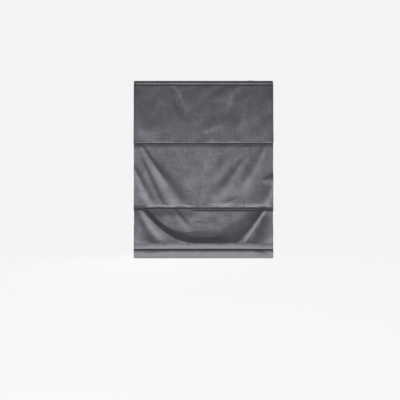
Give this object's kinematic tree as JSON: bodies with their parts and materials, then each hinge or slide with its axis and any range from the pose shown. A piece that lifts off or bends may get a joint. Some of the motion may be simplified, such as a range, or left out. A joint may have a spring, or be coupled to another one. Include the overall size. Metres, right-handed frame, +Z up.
{
  "type": "roman blind",
  "caption": "Roman blind in dark grey velvet with sewn rod pockets, a gathered lower fold, a lining and a spring-balanced headrail.",
  "frame": {"origin": "middle of the plane that the two top-fix brackets are screwed against, midway between their screw holes", "axes": "+X to the right seen from the room, +Y towards the window, +Z up"},
  "size_m": [1, 0.1078, 1.28],
  "materials": {
    "velvet": "short-pile velvet, nap laid downwards",
    "lining": "plain matt weave",
    "tape": "hook and loop tape",
    "cord": "braided",
    "rail_paint": "satin anthracite powder coat",
    "zinc_steel": "zinc plated",
    "bar_aluminium": "mill finish",
    "white_plastic": "moulded"
  },
  "bodies": {
    "headrail": {"headrail": "rail_paint", "end_cap_left": "rail_paint", "end_cap_right": "rail_paint", "bracket_left": "zinc_steel", "bracket_right": "zinc_steel", "hook_tape": "tape", "loop_tape": "tape", "cradle_left": "white_plastic", "cradle_middle": "white_plastic", "cradle_right": "white_plastic", "cord_eyelets": "white_plastic", "motor_housing": "white_plastic", "motor_cover": "white_plastic", "flat_spring": "zinc_steel", "face_cloth": "velvet", "lining": "lining", "lift_cords": "cord"},
    "lift_shaft": {"lift_shaft": "zinc_steel", "spool_left": "white_plastic", "spool_middle": "white_plastic", "spool_right": "white_plastic", "output_drum": "white_plastic", "wound_cord": "cord"},
    "storage_drum": {"storage_drum": "white_plastic"},
    "latch_left": {"latch_left": "zinc_steel"},
    "latch_right": {"latch_right": "zinc_steel"},
    "rod_1": {"rod_1": "white_plastic", "rod_1_tips": "white_plastic", "rod_1_pocket": "lining", "rod_1_rings": "white_plastic"},
    "rod_2": {"rod_2": "white_plastic", "rod_2_tips": "white_plastic", "rod_2_pocket": "lining", "rod_2_rings": "white_plastic"},
    "bottom": {"rod_3": "white_plastic", "rod_3_tips": "white_plastic", "rod_3_pocket": "lining", "rod_3_rings": "white_plastic", "cord_toggles": "white_plastic", "bottom_bar": "bar_aluminium", "bottom_bar_tips": "white_plastic"}
  },
  "joints": [
    {"name": "rod_1_lift", "type": "slide", "parent": "headrail", "child": "rod_1", "axis": [0, 0, 1], "range_m": [0, 0.39]},
    {"name": "rod_2_lift", "type": "slide", "parent": "rod_1", "child": "rod_2", "axis": [0, 0, 1], "range_m": [0, 0.43]},
    {"name": "bottom_lift", "type": "slide", "parent": "rod_2", "child": "bottom", "axis": [0, 0, 1], "range_m": [-0.32, 0.105], "deforming": ["face_cloth", "lining", "lift_cords"]},
    {"name": "shaft_turn", "type": "hinge", "parent": "headrail", "child": "lift_shaft", "pos_m": [0, 0, -0.0235], "axis": [-1, 0, 0], "range_deg": [-1915, 630]},
    {"name": "storage_turn", "type": "hinge", "parent": "headrail", "child": "storage_drum", "pos_m": [-0.19, 0.0174, -0.0235], "axis": [-1, 0, 0], "range_deg": [-540, 1630]},
    {"name": "latch_left_turn", "type": "hinge", "parent": "headrail", "child": "latch_left", "pos_m": [-0.327, 0.014, 0], "axis": [0, 0, -1], "range_deg": [0, 90]},
    {"name": "latch_right_turn", "type": "hinge", "parent": "headrail", "child": "latch_right", "pos_m": [0.327, 0.014, 0], "axis": [0, 0, 1], "range_deg": [0, 90]}
  ],
  "couplings": [
    {"joint": "shaft_turn", "follows": "bottom_lift", "rad_per_m": 104.17},
    {"joint": "storage_turn", "follows": "bottom_lift", "rad_per_m": -88.542}
  ]
}
